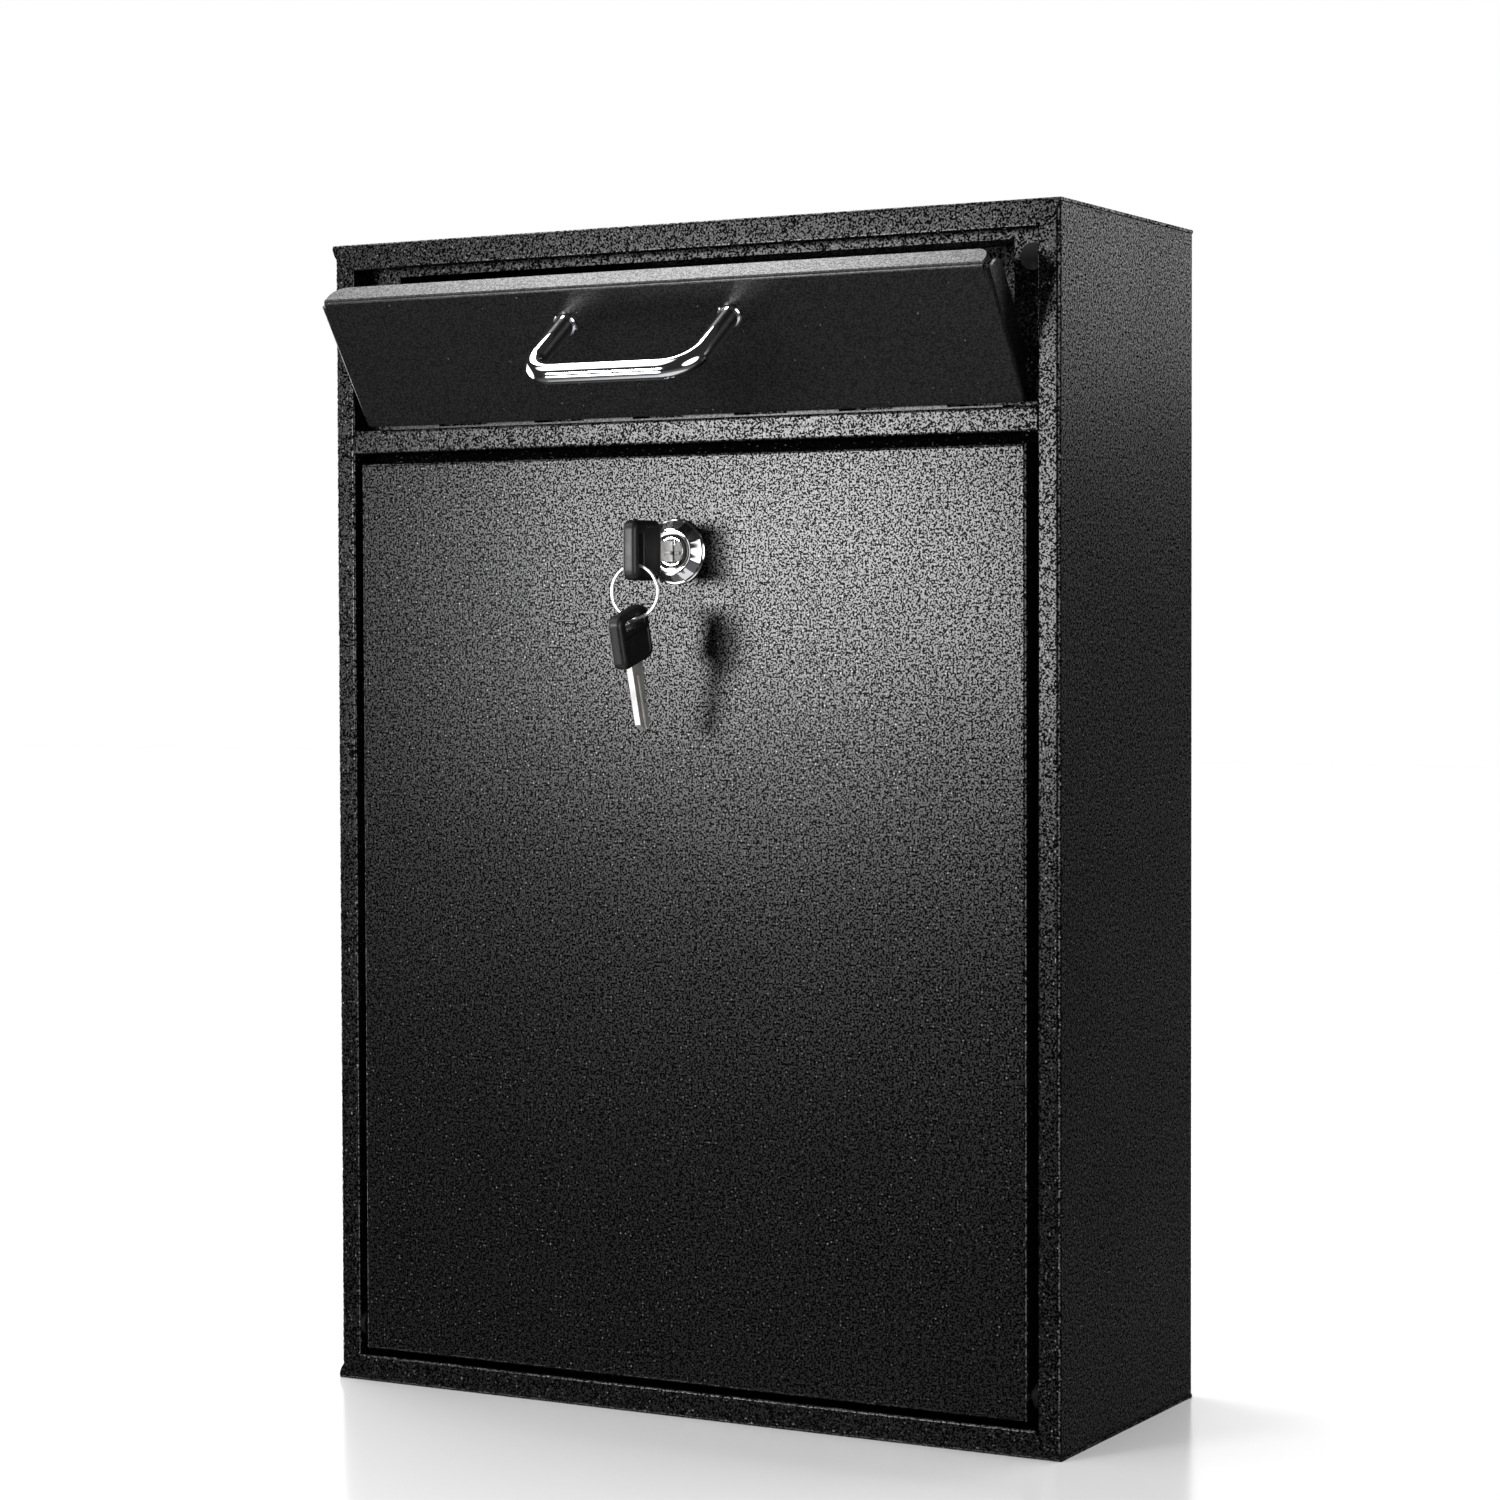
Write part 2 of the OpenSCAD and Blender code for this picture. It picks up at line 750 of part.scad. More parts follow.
// Blade from inside the bow to its tip, with the bitting cut into one edge
module blade_shape(l) {
    difference() {
        translate([-blade_t / 2, -5, -blade_w / 2]) cube([blade_t, 5 + l, blade_w]);
        across(4) {
            for (i = [0 : 4]) translate([l - 15 + 2.8 * i, blade_w / 2])
                polygon([[-1.4, 0.1], [-0.5, -1 - 0.5 * (i % 3)], [0.5, -1 - 0.5 * (i % 3)],
                    [1.4, 0.1]]);
            translate([l, -blade_w / 2]) polygon([[0.1, -0.1], [0.1, 2.4], [-2.4, -0.1]]);
            translate([l, blade_w / 2]) polygon([[0.1, 0.1], [0.1, -2.4], [-2.4, 0.1]]);
        }
        for (s = [-1, 1]) translate([s * blade_t / 2, l / 2 + 4, -0.6]) cube([0.9, l, 1.2],
            center = true);
    }
}

module inserted() {
    translate([0, key_face_y - bow_near, lock_z]) children();
}

// The spare hangs with its slot's end on the ring, and so leans until its weight is below it
module hung() {
    hang_z = ring_z - ring_r;
    reach = slot_l / 2 - slot_t / 2;
    along = bow_l - slot_near_end + slot_t / 2 - wire_d / 2 - wire_sag;
    translate([0, ring_y, hang_z]) rotate([atan(reach / balance_l), 0, 0]) rotate([-90, 0, 0])
        translate([0, along, -reach]) children();
}

module key_blade() {
    color(steel_col) inserted() blade_shape(blade_l);
}

module key_bow() {
    color(plastic_col) inserted() bow_shape();
}

module key_ring() {
    color(chrome_col) translate([0, ring_y, ring_z]) rotate([90, 0, 0])
        rotate_extrude() translate([ring_r, 0]) circle(wire_d / 2);
}

module spare_key_blade() {
    color(steel_col) hung() blade_shape(blade_l);
}

module spare_key_bow() {
    color(plastic_col) hung() bow_shape();
}

body_shell();
top_cap();
base_tray();
mid_rail();
slot_frame();
anti_fishing_baffle();
baffle_rivets();
flap_bumpers();
door_bumpers();
rail_hinge_leaf();
flap_hinge_pin();
door_pivot_bushes();
flap_panel();
flap_hinge_leaf();
flap_stop_arms();
flap_handle();
handle_screws();
handle_washers();
door_panel();
door_stiffeners();
door_pivot_pins();
lock_body();
lock_nut();
lock_washer();
lock_core();
lock_cam();
cam_washer();
cam_screw();
key_blade();
key_bow();
key_ring();
spare_key_blade();
spare_key_bow();
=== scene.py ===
"""A folded-steel drop box with its flap open and its key in the door lock."""

import json
import math

import bmesh
import bpy
from mathutils import Matrix, Vector


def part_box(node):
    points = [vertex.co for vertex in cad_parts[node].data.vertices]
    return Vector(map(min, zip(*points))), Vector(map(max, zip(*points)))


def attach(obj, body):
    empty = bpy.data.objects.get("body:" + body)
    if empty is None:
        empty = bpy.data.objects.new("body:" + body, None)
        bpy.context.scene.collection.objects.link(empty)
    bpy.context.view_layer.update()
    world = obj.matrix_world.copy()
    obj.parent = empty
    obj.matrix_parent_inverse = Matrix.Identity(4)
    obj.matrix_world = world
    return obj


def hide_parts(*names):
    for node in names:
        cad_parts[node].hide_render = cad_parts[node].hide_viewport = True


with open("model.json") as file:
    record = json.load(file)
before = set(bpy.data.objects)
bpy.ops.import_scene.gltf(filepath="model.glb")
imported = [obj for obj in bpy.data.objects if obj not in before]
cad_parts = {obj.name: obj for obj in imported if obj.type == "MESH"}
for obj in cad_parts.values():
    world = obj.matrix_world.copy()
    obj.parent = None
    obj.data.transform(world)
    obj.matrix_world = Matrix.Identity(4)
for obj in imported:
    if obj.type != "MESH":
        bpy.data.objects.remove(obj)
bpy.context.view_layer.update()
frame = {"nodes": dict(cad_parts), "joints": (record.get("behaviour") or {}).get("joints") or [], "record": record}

MM = 0.001

# Camera: place in the frame of the box, lens, and the way it is turned
CAMERA_PLACE = Vector((614.76, -1150.39, 269.99)) * MM
CAMERA_YAW = math.radians(29.843)
CAMERA_PITCH = math.radians(-1.787)
CAMERA_ROLL = math.radians(-0.217)
CAMERA_LENS = 87.44
CAMERA_SHIFT = 0.0667
SENSOR = 36.0

# Lights: name, place, what it is aimed at, size, brightness of its face
LIGHTS = (
    ("key", (-0.355, -0.85, 0.335), (0.05, -0.06, 0.31), (0.28, 0.17), 37.0),
    ("overhead", (-0.38, 0.16, 1.03), (0.0, -0.12, 0.38), (0.42, 0.34), 9.0),
    ("side", (0.85, 1.25, 0.75), (0.14, 0.0, 0.3), (0.8, 0.6), 2.0))

# What gloss sees of the room: the dark, a little more looking down, and most looking steeply down
ROOM_DARK = 0.025
FLOOR_BOUNCE = 0.11
FLOOR_BELOW = 0.7
# Brightness of the white all round, as matt surfaces and the floor see it
STUDIO_WHITE = 1.2
# Floor: share of gloss over the matt white, its roughness, and how far it reaches in metres
FLOOR_GLOSS = 0.35
FLOOR_ROUGHNESS = 0.18
FLOOR_REACH = 6.0
# Pale cards: direction, how far round it they are full, where they end, brightness
CARDS = (
    ((-0.497, 0.868, 0.0), math.radians(34), math.radians(46), 1.0),
    ((-0.98, 0.2, 0.0), math.radians(14), math.radians(26), 7.0),
    ((0.497, 0.868, 0.0), math.radians(20), math.radians(40), 0.08),
    ((0.87, -0.5, 0.0), math.radians(14), math.radians(26), 4.0),
    ((-0.497, -0.45, 0.74), math.radians(12), math.radians(24), 3.2),
    ((-0.47, -0.70, -0.53), math.radians(6), math.radians(12), 8.0))

# Flap, measured from its hinge line with the flap closed
FLAP_FACE = 3.5 * MM
HANDLE_UP = 36.0 * MM
HANDLE_OUT = 33.5 * MM
HANDLE_BEND = 11.0 * MM
ROD_R = 3.5 * MM
COLLAR_R = 4.4 * MM
COLLAR_T = 1.2 * MM

# Lock bezel: number of facets, how far it stands out, its bore and its barrel
BEZEL_SIDES = 16
BEZEL_OUT = 4.6 * MM
BEZEL_BORE = 6.55 * MM
BARREL_R = 9.5 * MM

# Grain of the powder coat
GRAIN = 0.68 * MM
GRAIN_DEPTH = 0.06 * MM
# Pale specks painted in it as glints: how far apart, and how rare
PAINTED_GLINT_SIZE = 0.68 * MM
PAINTED_GLINT_RARE = 0.775
PAINTED_GLINT_RARE_SATIN = PAINTED_GLINT_RARE + 0.07
PAINTED_GLINT_COLOR = (0.2, 0.2, 0.2, 1.0)

# Key bow: length, width, thickness, edge, far corners, near corners, slot from its far end,
# slot size, and the sunk panel's start, end and half width
BOW_L = 18.5 * MM
BOW_W = 20.3 * MM
BOW_T = 5.5 * MM
BOW_EDGE = 1.7 * MM
BOW_CORNER = 3.4 * MM
BOW_CHAMFER = 3.0 * MM
BOW_SLOT_IN = 4.3 * MM
BOW_SLOT = (3.4 * MM, 13.0 * MM)
BOW_PANEL = (-10.6 * MM, -1.9 * MM, 7.9 * MM)
BOW_PANEL_DEEP = 0.45 * MM
# How the spare key hangs: from its slot's end, leaning until its weight is under the ring
SPARE_ALONG = 14.654 * MM
SPARE_ASIDE = 4.8 * MM
SPARE_BALANCE = 16.6 * MM

# Split ring: flat wire in two turns
RING_WIRE = 0.95 * MM
RING_TURN_T = 0.45 * MM


# ---- Shader maths ----

class Value:
    """An output in a node tree. Arithmetic on it adds the Math nodes that work it out."""

    def __init__(self, graph, socket):
        self.graph = graph
        self.socket = socket

    def _math(self, operation, first, second=0.0):
        return self.graph.node("ShaderNodeMath", {"operation": operation}, {0: first, 1: second})

    def __add__(self, other):
        return self._math("ADD", self, other)

    def __sub__(self, other):
        return self._math("SUBTRACT", self, other)

    def __rsub__(self, other):
        return self._math("SUBTRACT", other, self)

    def __mul__(self, other):
        return self._math("MULTIPLY", self, other)

    __radd__ = __add__
    __rmul__ = __mul__

    def between(self, low, high):
        """0 on the low side, 1 on the high side, smooth from one to the other."""
        return self.graph.node(
            "ShaderNodeMapRange", {"interpolation_type": "SMOOTHSTEP"},
            {"Value": self, "From Min": low, "From Max": high})

    def dot(self, direction):
        return self.graph.node(
            "ShaderNodeVectorMath", {"operation": "DOT_PRODUCT"}, {0: self, 1: direction}, "Value")


class Graph:
    """A node tree of a material or of the world."""

    def __init__(self, tree):
        self.tree = tree

    def node(self, kind, settings, inputs, output=0):
        """Adds one node with its settings, then the values or links of its sockets."""
        made = self.tree.nodes.new(kind)
        for key, value in settings.items():
            setattr(made, key, value)
        for key, value in inputs.items():
            if isinstance(value, Value):
                self.tree.links.new(value.socket, made.inputs[key])
            else:
                made.inputs[key].default_value = value
        return Value(self, made.outputs[output])

    def blend(self, factor, low, high):
        """A colour between two colours."""
        return self.node("ShaderNodeMix", {"data_type": "RGBA"}, {
            "Factor": factor, 6: (*low, 1.0), 7: (*high, 1.0)}, 2)


class Finish(Graph):
    """A material: its Principled shader, and the nodes that vary it over the surface."""

    def __init__(self, name, color, roughness, **fixed):
        self.material = bpy.data.materials.new(name)
        self.material.use_nodes = True
        super().__init__(self.material.node_tree)
        self.shader = self.tree.nodes["Principled BSDF"]
        self.set("Base Color", color)
        self.set("Roughness", roughness)
        for socket, value in fixed.items():
            self.set(socket.replace("_", " "), value)

    def set(self, socket, value):
        target = self.shader.inputs[socket]
        if isinstance(value, Value):
            self.tree.links.new(value.socket, target)
        else:
            target.default_value = (*value, 1.0) if isinstance(value, tuple) else value

    def place(self, stretch=(1.0, 1.0, 1.0)):
        here = self.node("ShaderNodeTexCoord", {}, {}, "Object")
        return self.node("ShaderNodeVectorMath", {"operation": "MULTIPLY"}, {0: here, 1: stretch})

    def noise(self, size, detail=2.0, rough=0.5, at=None):
        return self.node("ShaderNodeTexNoise", {}, {
            "Vector": at or self.place(), "Scale": 1.0 / size, "Detail": detail, "Roughness": rough})

    def grain(self, size):
        """Leathery swells about size across, flat on top, with creases between them."""
        broad = self.noise(2.2 * size, 1.0)
        close = self.noise(size, 1.0)
        return (0.25 * broad + 0.75 * close).between(0.455, 0.545)

    def bump(self, height, depth):
        self.set("Normal", self.node("ShaderNodeBump", {}, {
            "Height": height, "Distance": depth, "Strength": 1.0}))


# ---- Finishes ----

def powder_coat(name, size, depth, gloss, crease, rare):
    """Black powder coat with a leathery grain: glossy swells, duller creases whose colour is darkened as painted
    shade, and pale specks painted as glints.
    """
    made = Finish(name, (0.003, 0.003, 0.0031), 0.5, Specular_IOR_Level=0.0,
                  Coat_Roughness=gloss)
    swell = made.grain(size)
    clouds = made.noise(60 * MM, 3.0)
    # Pale specks in the base colour: painted glints of the grain
    painted_glints = made.noise(PAINTED_GLINT_SIZE, 0.0).between(rare, rare + 0.04)
    # Base colour darker in the creases than on the swells: painted shade in the creases
    coat = made.blend(swell, (0.001, 0.001, 0.0011), (0.0026, 0.0026, 0.0028))
    made.set("Base Color", made.node("ShaderNodeMix", {"data_type": "RGBA"}, {
        "Factor": painted_glints, 6: coat, 7: PAINTED_GLINT_COLOR}, 2))
    made.set("Roughness", 0.30 + 0.1 * clouds)
    made.set("Coat Weight", (crease + (1.0 - crease) * swell) * (0.8 + 0.4 * clouds))
    made.bump(swell, depth)
    return made.material


def hammered_black():
    return powder_coat("hammered_black", GRAIN, GRAIN_DEPTH, 0.29, 0.02, PAINTED_GLINT_RARE)


def satin_black():
    """The same coat on the flap and its hinge, with a shallower and closer grain."""
    return powder_coat("satin_black", 0.8 * GRAIN, 0.5 * GRAIN_DEPTH, 0.34, 0.45, PAINTED_GLINT_RARE_SATIN)


def polished_chrome():
    made = Finish("polished_chrome", (0.83, 0.84, 0.86), 0.06, Metallic=1.0)
    wipes = made.noise(0.35 * MM, 3.0, 0.6, made.place((1.0, 6.0, 6.0)))
    haze = made.noise(9 * MM, 3.0)
    made.set("Roughness", 0.035 + 0.05 * haze + 0.03 * wipes)
    made.bump(wipes, 0.001 * MM)
    return made.material


def nickel_plate():
    made = Finish("nickel_plate", (0.6, 0.59, 0.57), 0.3, Metallic=0.8)
    brushed = made.noise(0.18 * MM, 3.0, 0.6, made.place((5.0, 1.0, 1.0)))
    tarnish = made.noise(6 * MM, 4.0)
    made.set("Base Color", made.blend(
        tarnish.between(0.35, 0.75), (0.66, 0.65, 0.63), (0.50, 0.49, 0.47)))
    made.set("Roughness", 0.30 + 0.12 * tarnish + 0.08 * brushed)
    made.bump(brushed, 0.004 * MM)
    return made.material


def zinc_steel():
    made = Finish("zinc_steel", (0.58, 0.59, 0.61), 0.35, Metallic=1.0)
    grain = made.noise(0.5 * MM, 4.0, 0.65)
    bloom = made.noise(7 * MM, 4.0)
    made.set("Base Color", made.blend(
        bloom.between(0.3, 0.75), (0.62, 0.63, 0.65), (0.46, 0.47, 0.50)))
    made.set("Roughness", 0.26 + 0.22 * bloom)
    made.bump(grain, 0.006 * MM)
    return made.material


def black_rubber():
    made = Finish("black_rubber", (0.018, 0.018, 0.018), 0.8)
    dust = made.noise(2.5 * MM, 4.0)
    made.set("Base Color", made.blend(
        dust.between(0.5, 0.8), (0.014, 0.014, 0.014), (0.035, 0.034, 0.032)))
    made.set("Roughness", 0.7 + 0.2 * dust)
    made.bump(made.noise(0.3 * MM), 0.02 * MM)
    return made.material


def key_plastic():
    """Moulded plastic with the fine matt of a spark-eroded tool."""
    made = Finish("key_plastic", (0.006, 0.006, 0.0065), 0.4, Specular_IOR_Level=0.4)
    spark = made.noise(0.22 * MM, 2.0, 0.6)
    rubbed = made.noise(5 * MM, 3.0)
    made.set("Base Color", made.blend(
        rubbed.between(0.4, 0.8), (0.005, 0.005, 0.0055), (0.010, 0.010, 0.0105)))
    made.set("Roughness", 0.32 + 0.16 * rubbed)
    made.bump(spark, 0.012 * MM)
    return made.material


def black_nylon():
    made = Finish("black_nylon", (0.003, 0.003, 0.003), 0.6, Specular_IOR_Level=0.08)
    flow = made.noise(3 * MM, 3.0)
    made.set("Base Color", made.blend(
        flow.between(0.3, 0.8), (0.002, 0.002, 0.002), (0.005, 0.005, 0.005)))
    made.set("Roughness", 0.55 + 0.14 * flow)
    made.bump(made.noise(0.3 * MM), 0.01 * MM)
    return made.material


def studio_floor():
    """Matt white with a soft gloss over it."""
    made = Finish("studio_floor", (0.87, 0.87, 0.87), 0.9, Specular_IOR_Level=0.0)
    clouds = made.noise(0.4, 2.0)
    made.set("Base Color", made.blend(clouds, (0.86, 0.86, 0.86), (0.88, 0.88, 0.88)))
    gloss = made.node("ShaderNodeBsdfAnisotropic", {}, {
        "Color": (1.0, 1.0, 1.0, 1.0), "Roughness": FLOOR_ROUGHNESS})
    coated = made.node("ShaderNodeMixShader", {}, {
        0: FLOOR_GLOSS, 1: Value(made, made.shader.outputs[0]), 2: gloss})
    made.tree.links.new(coated.socket, made.tree.nodes["Material Output"].inputs["Surface"])
    return made.material


FINISHES = {make.__name__: make() for make in (
    hammered_black, satin_black, polished_chrome, nickel_plate, zinc_steel,
    black_rubber, key_plastic, black_nylon)}


# ---- CAD parts: finishes and softened edges ----

# Radius of the softened edges in mm, for the nodes that have them
EDGE_R = {
    "body_shell": 0.25, "top_cap": 0.25, "base_tray": 0.45, "mid_rail": 0.2, "slot_frame": 0.2,
    "flap_panel": 0.3, "door_panel": 0.4, "anti_fishing_baffle": 0.2,
    "key_blade": 0.12, "spare_key_blade": 0.12, "lock_core": 0.15,
    "lock_nut": 0.3, "lock_cam": 0.2, "handle_screws": 0.4, "cam_screw": 0.3,
    "flap_stop_arms": 0.2, "door_stiffeners": 0.15, "door_bumpers": 0.15, "flap_bumpers": 0.15}
CREASE = math.radians(32)
EDGE_WELD = 0.002 * MM


def soften_edges(node, radius):
    """Joins the faces of a CAD part and rounds its sharp edges, by modifiers alone."""
    mesh = node.data
    if "custom_normal" in mesh.attributes:
        mesh.attributes.remove(mesh.attributes["custom_normal"])
    for face in mesh.polygons:
        face.use_smooth = True
    weld = node.modifiers.new("weld", "WELD")
    weld.merge_threshold = EDGE_WELD
    bevel = node.modifiers.new("edges", "BEVEL")
    bevel.width = radius * MM
    bevel.segments = 2
    bevel.limit_method = "ANGLE"
    bevel.angle_limit = CREASE
    bevel.harden_normals = False
    node.modifiers.new("faces", "WEIGHTED_NORMAL").keep_sharp = True


def finish_cad_parts():
    slots = {part["node"]: part["material_slot"] for part in frame["record"]["subparts"]}
    for name, node in frame["nodes"].items():
        node.data.materials.clear()
        node.data.materials.append(FINISHES[slots[name]])
        if name in EDGE_R:
            soften_edges(node, EDGE_R[name])


# ---- Mesh building ----

SAME_POINT = 0.0001 * MM


def clean(mesh):
    """Merges points that coincide, drops faces without area, and turns the rest outwards."""
    work = bmesh.new()
    work.from_mesh(mesh)
    bmesh.ops.remove_doubles(work, verts=work.verts, dist=SAME_POINT)
    bmesh.ops.dissolve_degenerate(work, edges=work.edges, dist=SAME_POINT)
    bmesh.ops.recalc_face_normals(work, faces=work.faces)
    work.to_mesh(mesh)
    work.free()


def piece(name, points, faces, finish, body):
    mesh = bpy.data.meshes.new(name)
    mesh.from_pydata([tuple(p) for p in points], [], faces)
    clean(mesh)
    for face in mesh.polygons:
        face.use_smooth = True
    made = bpy.data.objects.new(name, mesh)
    bpy.context.scene.collection.objects.link(made)
    made.data.materials.append(FINISHES[finish])
    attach(made, body)
    return made


def sharp_over(made, angle):
    made.data.set_sharp_from_angle(angle=angle)


def grid_faces(rows, cols, closed_rows=False):
    """Quads over rows of points; each row is a closed loop of cols points."""
    faces = []
    last = rows if closed_rows else rows - 1
    for i in range(last):
        for j in range(cols):
            k = (j + 1) % cols
            n = (i + 1) % rows
            faces.append((i * cols + j, i * cols + k, n * cols + k, n * cols + j))
    return faces


def tube(path, radius, sides):
    """Points and faces of a round tube along a path that lies in a plane of constant local z."""
    points = []
    for i, here in enumerate(path):
        before = path[max(i - 1, 0)]
        after = path[min(i + 1, len(path) - 1)]
        along = (after - before).normalized()
        side = Vector((-along.y, along.x, 0.0))
        up = Vector((0.0, 0.0, 1.0))
        for j in range(sides):
            a = 2 * math.pi * j / sides
            points.append(here + radius * (math.cos(a) * side + math.sin(a) * up))
    faces = grid_faces(len(path), sides)
    faces.append(tuple(range(sides - 1, -1, -1)))
    faces.append(tuple(range(len(points) - sides, len(points))))
    return points, faces


def arc(centre, radius, start, end, steps):
    return [centre + radius * Vector((math.cos(a), math.sin(a), 0.0))
            for a in (math.radians(start + (end - start) * i / steps) for i in range(steps + 1))]


def lathe(profile, sides, shape=None):
    """Turns a closed (radius, distance out) profile about the Y axis."""
    points = []
    for row, (radius, out) in enumerate(profile):
        for j in range(sides):
            a = 2 * math.pi * j / sides
            r = radius * (shape(row, a) if shape else 1.0)
            points.append(Vector((r * math.cos(a), -out, r * math.sin(a))))
    return points, grid_faces(len(profile), sides, closed_rows=True)


def joined(parts):
    points, faces = [], []
    for more_points, more_faces in parts:
        base = len(points)
        points += more_points
        faces += [tuple(base + i for i in face) for face in more_faces]
    return points, faces


# ---- Bow handle ----

def flap_hinge():
    return next(j for j in frame["joints"] if j["name"] == "flap_hinge")


def flap_at_rest():
    """From the closed flap, measured from its hinge line, to where it stands open."""
    hinge = flap_hinge()
    opened = math.radians(-hinge["range_deg"][0])
    return Matrix.Translation(hinge["pos_m"]) @ Matrix.Rotation(opened, 4, "X")


def bow_handle():
    low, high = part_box("flap_handle")
    half = (high.x - low.x) / 2 - COLLAR_R
    bend = HANDLE_BEND
    corner = Vector((half - bend, -HANDLE_OUT + bend, 0.0))
    right = [Vector((half, 0.0, 0.0)), Vector((half, corner.y + 4 * MM, 0.0))]
    right += arc(corner, bend, 0, -90, 18)
    left = [Vector((-p.x, p.y, 0.0)) for p in reversed(right)]
    collar = [(0.0, 0.0), (COLLAR_R, 0.0), (COLLAR_R, COLLAR_T - 0.4 * MM),
              (COLLAR_R - 0.4 * MM, COLLAR_T), (0.0, COLLAR_T)]
    parts = [tube(right + left, ROD_R, 40)]
    for side in (-half, half):
        points, faces = lathe(collar, 40)
        parts.append(([p + Vector((side, 0.0, 0.0)) for p in points], faces))
    points, faces = joined(parts)
    place = flap_at_rest() @ Matrix.Translation((0.0, -FLAP_FACE, HANDLE_UP))
    made = piece("bow_handle", [place @ p for p in points], faces, "polished_chrome", "flap")
    sharp_over(made, math.radians(40))
    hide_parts("flap_handle")
    return made


# ---- Lock bezel ----

def facet(angle):
    """Radius of a flat-sided ring of unit radius at its corners."""
    step = 2 * math.pi / BEZEL_SIDES
    across = (angle + step / 2) % step - step / 2
    return math.cos(step / 2) / math.cos(abs(across) - step / 2)


def lock_bezel():
    low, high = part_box("lock_body")
    centre = (low + high) / 2
    radius = (high.x - low.x) / 2
    door_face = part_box("door_panel")[0].y
    back = door_face - high.y
    profile = [
        (BEZEL_BORE, back), (BARREL_R, back), (BARREL_R, 0.0), (radius, 0.0), (radius, 0.9 * MM),
        (radius - 0.35 * MM, 1.35 * MM), (radius - 0.7 * MM, 1.5 * MM),
        (radius - 3.0 * MM, BEZEL_OUT - 0.35 * MM), (radius - 3.3 * MM, BEZEL_OUT - 0.08 * MM),
        (radius - 3.6 * MM, BEZEL_OUT), (radius - 3.95 * MM, BEZEL_OUT - 0.12 * MM),
        (radius - 4.1 * MM, BEZEL_OUT - 0.4 * MM), (radius - 4.3 * MM, BEZEL_OUT - 1.6 * MM),
        (BEZEL_BORE, BEZEL_OUT - 1.6 * MM)]
    faceted = (6, 7)
    points, faces = lathe(profile, 16 * 8, lambda row, a: facet(a) if row in faceted else 1.0)
    place = Vector((centre.x, door_face, centre.z))
    made = piece("lock_bezel", [place + p for p in points], faces, "polished_chrome", "door")
    sharp_over(made, math.radians(14))
    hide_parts("lock_body")
    return made


def outline_reach(outline, angle):
    """How far a ray from the origin at that angle runs before it crosses a closed outline."""
    ray = Vector((math.cos(angle), math.sin(angle)))
    far = 0.0
    for i, start in enumerate(outline):
        along = outline[(i + 1) % len(outline)] - start
        cross = ray.x * along.y - ray.y * along.x
        if abs(cross) < 1e-15:
            continue
        t = (start.x * along.y - start.y * along.x) / cross
        u = (start.x * ray.y - start.y * ray.x) / cross
        if -1e-6 <= u <= 1 + 1e-6:
            far = max(far, t)
    return far


def ray_loop(outline, count):
    loop = []
    for j in range(count):
        a = 2 * math.pi * (j + 0.5) / count
        r = outline_reach(outline, a)
        loop.append(Vector((r * math.cos(a), r * math.sin(a))))
    return loop


def round_rectangle(low, high, radii, steps=8):
    """Outline from low to high, with the radii of its four corners from the high one round."""
    outline = []
    corners = ((high[0], high[1], -1, -1, 0), (low[0], high[1], 1, -1, 90),
               (low[0], low[1], 1, 1, 180), (high[0], low[1], -1, 1, 270))
    for (x, y, sx, sy, start), r in zip(corners, radii):
        r = max(r, 1e-6)
        for k in range(steps + 1):
            a = math.radians(start + 90 * k / steps)
            outline.append(Vector((x + sx * r + r * math.cos(a), y + sy * r + r * math.sin(a))))
    return outline


def circle(radius, count=96):
    angles = (2 * math.pi * k / count for k in range(count))
    return [Vector((radius * math.cos(a), radius * math.sin(a))) for a in angles]


# ---- Face of the lock core ----

def core_face():
    """Turned ring round the keyway: a low cone with a groove, and a chamfered rim."""
    low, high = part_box("lock_core")
    centre = (low + high) / 2
    face_y = low.y
    keyway = round_rectangle((-1.45 * MM, -4.05 * MM), (1.45 * MM, 4.05 * MM), (0.3 * MM,) * 4)
    wider = round_rectangle((-1.65 * MM, -4.25 * MM), (1.65 * MM, 4.25 * MM), (0.5 * MM,) * 4)
    rows = [(keyway, 0.0), (keyway, 0.5), (wider, 0.62), (circle(4.45 * MM), 0.5),
            (circle(4.5 * MM), 0.18), (circle(4.85 * MM), 0.18), (circle(4.9 * MM), 0.46),
            (circle(6.05 * MM), 0.34), (circle(6.3 * MM), 0.2), (circle(6.35 * MM), 0.0)]
    count = 120
    points = []
    for outline, out in rows:
        for p in ray_loop(outline, count):
            points.append(Vector((centre.x + p.x, face_y - out * MM, centre.z + p.y)))
    made = piece("core_face", points, grid_faces(len(rows), count, closed_rows=True),
                 "polished_chrome", "lock_core")
    sharp_over(made, math.radians(25))


# ---- Key bows ----

def bow_outline(inset):
    """Outline about the slot's middle: x along the key, y across it."""
    far = -BOW_SLOT_IN + inset
    near = BOW_L - BOW_SLOT_IN - inset
    side = BOW_W / 2 - inset
    return round_rectangle((far, -side), (near, side), (
        BOW_CHAMFER - inset / 2, BOW_CORNER - inset, BOW_CORNER - inset, BOW_CHAMFER - inset / 2))


def bow_slot(outset):
    along, across = BOW_SLOT[0] / 2 + outset, BOW_SLOT[1] / 2 + outset
    return round_rectangle((-along, -across), (along, across), (along,) * 4)


def panel_depth(along, across):
    """Depth of the sunk panel at a place on the bow's face, measured from the key's shoulder."""
    start, end, side = BOW_PANEL
    edge = 0.35 * MM
    inside = min(along - start, end - along, side - abs(across)) / edge
    t = min(max(inside + 0.5, 0.0), 1.0)
    return BOW_PANEL_DEEP * t * t * (3 - 2 * t)


